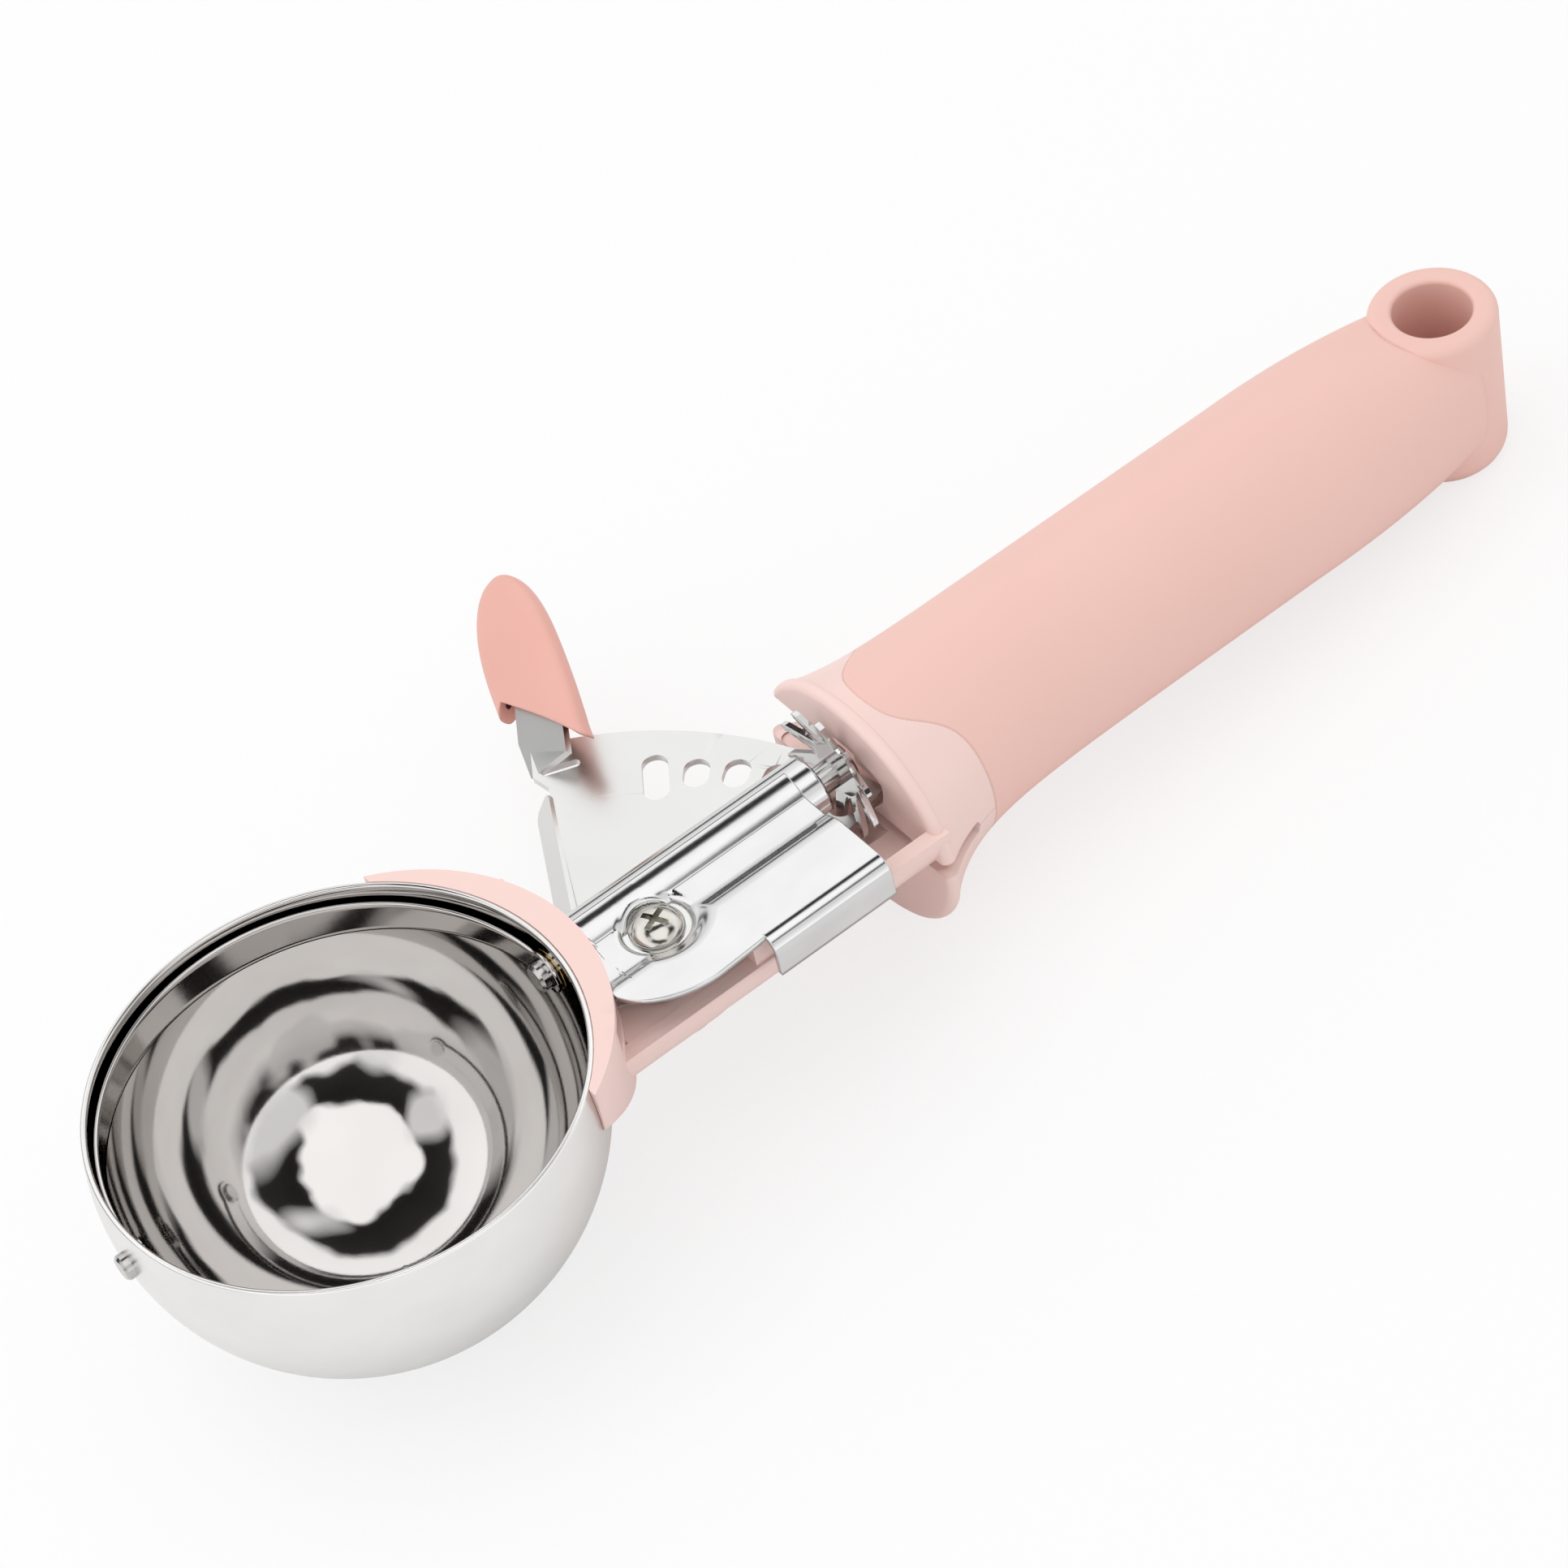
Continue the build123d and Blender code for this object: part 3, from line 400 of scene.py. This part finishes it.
# guard: the flared front of the frame, two skins over the frame's own guard
guardSet = {"rimX": 78.7, "rimRound": 1.12, "rimHalf": 17.2, "rimSquare": 2.06, "faceX": 77.54,
            "faceIn": (5.5, 2.5, 0.4), "roll": (180, 58), "rollRows": 16, "rimGap": 0.06,
            "pocketTop": 1.1, "pocketEnd": 85.1, "sweepEnd": 87.3, "slotTop": -6.0,
            "slotLow": -8.0, "slotMiddle": -7.0, "slotEnd": 85.3, "closing": 0.5, "drawn": 0.3,
            "seamTuck": 0.1, "seamGuess": 88.0, "crowding": 1.3, "across": 160, "rows": 70,
            "hem": 0.9}


def makeGuard(dims, name, ends):
    # rows go over the front face, round the rim and down the trumpet to the seam; each row
    # runs round the handle's section between the two heights in ends, first on the lever's
    # side and last on the other, over the top or under the bottom
    over = ends[0] > dims["slotLow"]
    roll = np.radians(np.linspace(*dims["roll"], dims["rollRows"]))
    frontX = np.concatenate([[dims["faceX"]] * len(dims["faceIn"]),
                             dims["rimX"] + dims["rimRound"] * np.cos(roll)])[:, None]
    frontOut = np.concatenate([dims["rimHalf"] - np.array(dims["faceIn"]),
                               dims["rimHalf"] + dims["rimRound"] * np.sin(roll)])[:, None]
    startX = frontX[-1] + dims["rimGap"]
    u = np.linspace(0, 1, dims["across"])[None, :]

    def turnAt(x, tall, middle):
        # angles round the closed section, where both skins meet behind the slot; the columns
        # beside the slot and the pocket are drawn back to their edges in front of their ends
        closed = np.arcsin((dims["slotMiddle"] - middle) / tall)
        turn = closed + (pi - 2 * closed if over else -pi - 2 * closed) * u
        for end, shut, far, sign in ((ends[0], dims["sweepEnd"], u, 1),
                                     (ends[1], dims["slotEnd"], 1 - u, -1)):
            slot = min(end, dims["slotTop"])
            height = end + (slot - end) * softStep((x - dims["pocketEnd"]) / dims["closing"])
            height = height + (dims["slotMiddle"] - slot) * softStep((x - shut) / dims["closing"])
            drawBack = np.arcsin(np.clip((height - middle) / tall, -1, 1)) - closed
            turn = turn + sign * drawBack * np.clip(1 - far / dims["drawn"], 0, 1)
        return turn

    seam = np.full((1, dims["across"]), dims["seamGuess"])
    along = np.linspace(0, 1, dims["rows"])[:, None] ** dims["crowding"]
    share = handleSet["seamShare"]
    for _ in range(handleSet["settleSteps"]):
        x = startX + (seam + dims["seamTuck"] - startX) * along
        half, tall, middle, _way = handleOutline(handleSet, x)
        turn = turnAt(x, tall, middle)
        y = half * np.cos(turn)
        seam = (1 - share) * seam + share * seamX(handleSet, y[-1:])
    trumpet = np.stack([x, y, middle + tall * np.sin(turn)], -1)
    half, tall, middle = half[:1, :1], tall[:1, :1], middle[:1, :1]
    frontTall = frontOut * tall / half
    turn = turnAt(frontX, frontTall, middle)
    across, up = roundPower(turn, dims["rimSquare"])
    front = np.stack([frontX + 0 * turn, frontOut * across, middle + frontTall * up], -1)
    skin = np.concatenate([front, trumpet])
    hem = skin[:, [0, -1]] * np.array([1.0, dims["hem"], 1.0])
    skin = np.concatenate([hem[:, :1], skin, hem[:, 1:]], axis=1)
    guard = sheetObject(name, skin, False, framePlastic)
    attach(guard, "frame")


makeGuard(guardSet, "guardOver", (guardSet["pocketTop"], guardSet["slotTop"]))
makeGuard(guardSet, "guardUnder", (guardSet["slotLow"], guardSet["slotLow"]))
print("guard ready")

# ledge of the hull under the round front of the cover, which closes the view into the deck
ledgeSet = {"x": (31.0, 50.0), "outer": -16.6,
            "inner": ((31.0, -8.6), (34.5, -9.4), (38.0, -12.6), (50.0, -12.9)),
            "top": -1.32, "drop": 0.7, "dropPower": 5, "thick": 1.3, "rows": 60, "across": 16}


def makeLedge(dims):
    # a flat strip between the outer line and the inner one, whose height falls with a high
    # power of the way across, so that the inner edge turns down
    x = np.linspace(*dims["x"], dims["rows"])[:, None]
    inner = np.interp(x, *np.transpose(dims["inner"]))
    v = np.linspace(0, 1, dims["across"])[None, :]
    y = dims["outer"] + (inner - dims["outer"]) * v
    z = dims["top"] - dims["drop"] * v ** dims["dropPower"]
    points = np.stack([x + 0 * y, y, z + 0 * x], -1)
    quads = [quad[::-1] for quad in gridFaces(*points.shape[:2], False)]
    ledge = meshObject("deckLedge", toWorld(points.reshape(-1, 3)), quads, framePlastic)
    thick = ledge.modifiers.new("wall", "SOLIDIFY")
    thick.thickness = dims["thick"] * mm
    thick.offset = -1
    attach(ledge, "frame")


makeLedge(ledgeSet)
print("ledge ready")

# mechanism bracket: one pressed sheet over the shaft, the screw and the hull's edge
pressSet = {"sheet": 0.8, "tunnel": 4.4, "legZ": -0.8, "front": 35.3, "rear": 71.8,
            "flatRear": 68.5, "flat": 4.2, "groove": 2.85, "dish": 1.8, "pivot": (43.0, -6.5),
            "grooveEdge": -7.4, "grooveRun": 2, "wallRun": 3.9, "bossReach": 4.9, "bossRun": 3.0,
            "aheadEdge": -12.9, "aheadRun": 3.0, "aheadEnd": 3, "dishRadius": 4.7, "dishRun": 0.6,
            "headRadius": 3.85, "headRun": 0.5, "blend": 0.35,
            "flangeX": 50.6, "bendY": -18.6, "bend": 1.6, "flangeLow": -0.8,
            "lobeFront": 31.9, "lobeGap": 0.03, "lobeMiddle": (43.2, -12.2), "lobeDepth": 7.4,
            "lobeSquare": 1.85, "lobeRise": 0.06, "inner": (-12.0, -2.6), "weld": 0.012,
            "rows": 220, "apronRows": 26, "tailRows": 10, "bendRows": 14, "flangeRows": 6,
            "flatColumns": 110, "domeColumns": 26}


def pressedHeight(dims, x, y):
    # the flat, lowered by a groove with sloping walls and a round boss about the screw and
    # lowered again in a dish; a soft maximum joins it to the half circle of the tunnel,
    # save under the head of the screw, where the lower of the two stays
    px, py = dims["pivot"]
    fromScrew = np.hypot(x - px, y - py)
    inGroove = softStep((y - dims["grooveEdge"] + dims["wallRun"]) / dims["wallRun"])
    inGroove = inGroove * softStep((x - px) / dims["grooveRun"])
    inBoss = softStep((dims["bossReach"] + dims["bossRun"] - fromScrew) / dims["bossRun"])
    ahead = softStep((px - x) / dims["aheadEnd"]) * softStep((y - dims["aheadEdge"]) / dims["aheadRun"])
    low = np.maximum(np.maximum(inGroove, inBoss), ahead)
    inDish = softStep((dims["dishRadius"] + dims["dishRun"] - fromScrew) / dims["dishRun"])
    floor = dims["flat"] - (dims["flat"] - dims["groove"]) * low
    floor = floor - (dims["groove"] - dims["dish"]) * inDish
    dome = np.sqrt(np.clip(dims["tunnel"] ** 2 - y ** 2, 0, None))
    gap = dome - floor
    joined = floor + 0.5 * (gap + np.sqrt(gap ** 2 + dims["blend"] ** 2))
    underHead = softStep((dims["headRadius"] + dims["headRun"] - fromScrew) / dims["headRun"])
    return joined * (1 - underHead) + np.minimum(joined, floor) * underHead


def lobeEdge(dims, x):
    # the round front of the flat is a quarter superellipse in x; behind its middle the edge
    # rises slightly along x, and from the flange on it is the line of the bend
    mx, my = dims["lobeMiddle"]
    u = np.clip((mx - x) / (mx - dims["lobeFront"]), 0, 1)
    lobe = my - dims["lobeDepth"] * (1 - u ** dims["lobeSquare"]) ** (1 / dims["lobeSquare"])
    lobe = lobe + dims["lobeRise"] * np.clip(x - mx, 0, None)
    return np.where(x < dims["flangeX"], lobe, dims["bendY"])


def makeBracket(dims):
    # four sheets share their edge points: the flat with its groove, the tunnel's far half
    # over the whole length, its near half at the tail, and the bent flange
    legAngle = np.arcsin(dims["legZ"] / dims["tunnel"])
    apron = np.linspace(dims["lobeFront"] + dims["lobeGap"], dims["front"], dims["apronRows"],
                        endpoint=False)
    body = np.linspace(dims["front"], dims["flatRear"], dims["rows"])
    tail = np.linspace(dims["flatRear"], dims["rear"], dims["tailRows"])
    v = np.linspace(0, 1, dims["flatColumns"])[None, :]
    x = np.concatenate([apron, body])[:, None]
    apronInner = np.interp(apron, [apron[0], apron[-1]], dims["inner"])
    inner = np.concatenate([apronInner, 0 * body])[:, None]
    y = inner + (lobeEdge(dims, x) - inner) * v
    x = x + 0 * y
    sheets = [(np.stack([x, y, pressedHeight(dims, x, y)], -1), True)]
    for run, low, high in ((np.append(body, tail[1:]), legAngle, pi / 2), (tail, pi / 2, pi - legAngle)):
        alpha = np.linspace(low, high, dims["domeColumns"])[None, :] + 0 * run[:, None]
        sheets.append((np.stack([run[:, None] + 0 * alpha, dims["tunnel"] * np.cos(alpha),
                                 dims["tunnel"] * np.sin(alpha)], -1), False))
    x = body[body >= dims["flangeX"]][:, None]
    turn = np.radians(np.linspace(90, 180, dims["bendRows"]))
    bendY = dims["bendY"] + dims["bend"] * np.cos(turn)
    bendZ = dims["flat"] - dims["bend"] + dims["bend"] * np.sin(turn)
    flangeZ = np.linspace(bendZ[-1], dims["flangeLow"], dims["flangeRows"] + 1)[1:]
    bendY = np.append(bendY, [bendY[-1]] * dims["flangeRows"])[None, :]
    bendZ = np.append(bendZ, flangeZ)[None, :]
    sheets.append((np.stack([x + 0 * bendY, bendY + 0 * x, bendZ + 0 * x], -1), True))
    verts, faces = [], []
    for sheet, flipped in sheets:
        quads = gridFaces(*sheet.shape[:2], False, start=sum(map(len, verts)))
        faces += [quad[::-1] for quad in quads] if flipped else quads
        verts.append(sheet.reshape(-1, 3))
    bracket = meshObject("pressedBracket", toWorld(np.concatenate(verts)), faces, brightSteel)
    weld = bracket.modifiers.new("weld", "WELD")
    weld.merge_threshold = dims["weld"] * mm
    thick = bracket.modifiers.new("sheet", "SOLIDIFY")
    thick.thickness = dims["sheet"] * mm
    thick.offset = -1
    return bracket


standIn(makeBracket(pressSet), "mechanism_bracket")
print("bracket ready")

# thumb pad: a pillow on the tab's slanting plane, open in a V at its foot
padSet = {"corner": (53.41, 37.89, -7.0), "heading": 69.0, "bend": 40.0, "tip": 29.2,
          "middle": -3.9, "half": 6.35, "widest": 10.0, "thick": 2.0, "square": 3.2,
          "footSide": (-1.0, 0.7, 1.0), "footAt": (-7.4, 9.0, 7.6), "tipPower": 2.6,
          "footReach": 4.6, "footNarrow": 0.1, "thickPower": 0.7,
          "innerRow": {"in": 1.5, "wide": 0.8, "tall": 0.4},
          "edgeRow": {"in": 0.15, "wide": 0.97, "tall": 0.85}, "rows": 90, "around": 96}


def makePad(dims):
    # the section across is a superellipse; its half width falls to nothing at the tip as a
    # superellipse does, and by a tenth at the foot; the thickness follows a root of that
    # width; at the foot two smaller rows turn in
    turn = np.linspace(0, 2 * pi, dims["around"], endpoint=False)
    v, t = roundPower(turn[None, :], dims["square"])
    start = np.interp(v, dims["footSide"], dims["footAt"])
    way = np.sin(np.linspace(0, pi / 2, dims["rows"]))[:, None]
    s = start + (dims["tip"] - start) * way
    toTip = np.clip((s - dims["widest"]) / (dims["tip"] - dims["widest"]), 0, 1)
    toFoot = np.clip((dims["widest"] - s) / (dims["widest"] + dims["footReach"]), 0, 1)
    taper = np.sqrt(np.clip(1 - toTip ** dims["tipPower"], 0, None))
    halfWidth = dims["half"] * taper * (1 - dims["footNarrow"] * toFoot ** 2)
    across = dims["middle"] + halfWidth * v
    height = dims["thick"] * taper ** dims["thickPower"] * t
    turnedIn = [np.stack([s[:1] + row["in"],
                          dims["middle"] + (across[:1] - dims["middle"]) * row["wide"],
                          height[:1] * row["tall"]], -1)
                for row in (dims["innerRow"], dims["edgeRow"])]
    local = np.concatenate([*turnedIn, np.stack([s, across, height], -1)])
    h, b = radians(dims["heading"]), radians(dims["bend"])
    along = np.array([cos(h), sin(h), 0])
    normal = np.array([-sin(h) * sin(b), cos(h) * sin(b), cos(b)])
    sideways = np.cross(normal, along)
    points = (np.array(dims["corner"]) + local[..., :1] * along + local[..., 1:2] * sideways
              + local[..., 2:] * normal)
    return sheetObject("thumbPad", points, True, padPlastic)


standIn(makePad(padSet), "thumb_pad", "lever")
print("thumb pad ready")

# camera
cameraSet = {"place": (-164.58, -380.935, 482.342), "turn": (39.5182, 13.1882, -38.5787),
             "lens": 111.8, "sensor": 36}
camData = bpy.data.cameras.new("camera")
camData.lens = cameraSet["lens"]
camData.sensor_width = cameraSet["sensor"]
camera = bpy.data.objects.new("camera", camData)
camera.location = [v * mm for v in cameraSet["place"]]
camera.rotation_euler = [radians(v) for v in cameraSet["turn"]]
bpy.context.collection.objects.link(camera)
bpy.context.scene.camera = camera
bpy.context.scene.view_settings.view_transform = "Standard"

# table top, matt pale grey; washOut is the share of white that only the camera sees, and
# half is in metres
floorSet = {"half": 2.0, "colour": "F4F4F4", "washOut": 0.72}
floorMat, floorTree = newMaterial("paleTableTop")
paint = addNode(floorTree, "ShaderNodeBsdfDiffuse", {"Color": linear(floorSet["colour"])})
glow = addNode(floorTree, "ShaderNodeEmission", {"Color": linear("FFFFFF"), "Strength": 1.0})
seenDirect = addNode(floorTree, "ShaderNodeLightPath")
share = addNode(floorTree, "ShaderNodeMath", {"operation": "MULTIPLY", 1: floorSet["washOut"]},
                {0: seenDirect.outputs["Is Camera Ray"]})
washed = addNode(floorTree, "ShaderNodeMixShader", {},
                 {"Fac": share.outputs["Value"], 1: paint.outputs["BSDF"], 2: glow.outputs["Emission"]})
addNode(floorTree, "ShaderNodeOutputMaterial", {}, {"Surface": washed.outputs["Shader"]})
half = floorSet["half"]
floor = meshObject("floor", [(-half, -half, 0), (half, -half, 0), (half, half, 0), (-half, half, 0)],
                   [(0, 1, 2, 3)], floorMat)

# what the bright metal mirrors: a round white lamp in a dark hood, bright panels round it
# and dim walls below, in bands by how near a direction is to the lamp's, from 0 opposite it
# to 1 at it; a noise shakes the bands, and patches of pale panel lie over them
skySet = {"plain": 0.84, "mirrored": 1.4, "seen": 1.0, "lamp": (0.06, -0.31, 0.949),
          "shake": 0.12, "shakeScale": 2.2, "patchScale": 1.5, "patchFrom": 0.52, "patchTo": 0.62,
          "patchShare": 0.85, "patchColour": "E6E6E6",
          "bands": ((0.0, "8A8888"), (0.20, "8A8686"), (0.30, "3E3C3C"), (0.50, "2E2C2C"),
                    (0.58, "D8D8D8"), (0.66, "FFFFFF"), (0.835, "F6F6F6"), (0.862, "2A2828"),
                    (0.938, "1E1C1C"), (0.952, "FFFFFF"))}
world = bpy.data.worlds.new("studio")
bpy.context.scene.world = world
world.use_nodes = True
sky = world.node_tree
sky.nodes.clear()
away = addNode(sky, "ShaderNodeTexCoord").outputs["Generated"]
toLamp = addNode(sky, "ShaderNodeVectorMath", {"operation": "DOT_PRODUCT", 1: skySet["lamp"]}, {0: away})
near = addNode(sky, "ShaderNodeMapRange", {"From Min": -1.0, "From Max": 1.0},
               {"Value": toLamp.outputs["Value"]})
wobble = addNode(sky, "ShaderNodeTexNoise", {"Scale": skySet["shakeScale"], "Detail": 2.0},
                 {"Vector": away})
shaken = addNode(sky, "ShaderNodeMath", {"operation": "MULTIPLY_ADD", 1: skySet["shake"]},
                 {0: wobble.outputs["Fac"], 2: near.outputs["Result"]})
centred = addNode(sky, "ShaderNodeMath", {"operation": "SUBTRACT", 1: skySet["shake"] / 2},
                  {0: shaken.outputs["Value"]})
ramp = addNode(sky, "ShaderNodeValToRGB", {}, {"Fac": centred.outputs["Value"]})
stops = ramp.color_ramp.elements
for k, (at, colour) in enumerate(skySet["bands"]):
    stop = stops[k] if k < 2 else stops.new(at)  # a new ramp has two stops
    stop.position = at
    stop.color = linear(colour)
patchNoise = addNode(sky, "ShaderNodeTexNoise", {"Scale": skySet["patchScale"], "Detail": 1.0},
                     {"Vector": away})
patch = addNode(sky, "ShaderNodeMapRange", {"From Min": skySet["patchFrom"], "From Max": skySet["patchTo"],
                                            "To Max": skySet["patchShare"]},
                {"Value": patchNoise.outputs["Fac"]})
panels = addNode(sky, "ShaderNodeMix", {"data_type": "RGBA", "B": linear(skySet["patchColour"])},
                 {"Factor": patch.outputs["Result"], "A": ramp.outputs["Color"]})
mirrored = addNode(sky, "ShaderNodeBackground", {"Strength": skySet["mirrored"]},
                   {"Color": panels.outputs[mixedColour]})
plain, white = (addNode(sky, "ShaderNodeBackground", {"Color": linear("FFFFFF"), "Strength": skySet[part]})
                for part in ("plain", "seen"))
rayKind = addNode(sky, "ShaderNodeLightPath")
lit = addNode(sky, "ShaderNodeMixShader", {},
              {0: rayKind.outputs["Is Glossy Ray"], 1: plain.outputs["Background"],
               2: mirrored.outputs["Background"]})
seen = addNode(sky, "ShaderNodeMixShader", {},
               {0: rayKind.outputs["Is Camera Ray"], 1: lit.outputs["Shader"],
                2: white.outputs["Background"]})
addNode(sky, "ShaderNodeOutputWorld", {}, {"Surface": seen.outputs["Shader"]})

# two soft boxes, sizes and places in metres, power in watts
lampSets = {
    "overheadSoftbox": {"size": (0.9, 0.9), "power": 2.7, "place": (-0.15, 0.15, 1.1),
                        "aim": (-0.03, 0.0, 0.0)},
    "leftSoftbox": {"size": (0.6, 0.9), "power": 1.3, "place": (-0.9, 0.3, 0.7),
                    "aim": (0.0, 0.0, 0.02)},
}
for name, look in lampSets.items():
    lamp = bpy.data.lights.new(name, "AREA")
    lamp.shape = "RECTANGLE"
    lamp.size, lamp.size_y = look["size"]
    lamp.energy = look["power"]
    holder = bpy.data.objects.new(name, lamp)
    bpy.context.collection.objects.link(holder)
    holder.location = look["place"]
    holder.visible_glossy = False  # metal mirrors the world's own lamp instead
    aim = mathutils.Vector(look["aim"]) - mathutils.Vector(look["place"])
    holder.rotation_euler = aim.to_track_quat("-Z", "Y").to_euler()
print("stage ready")
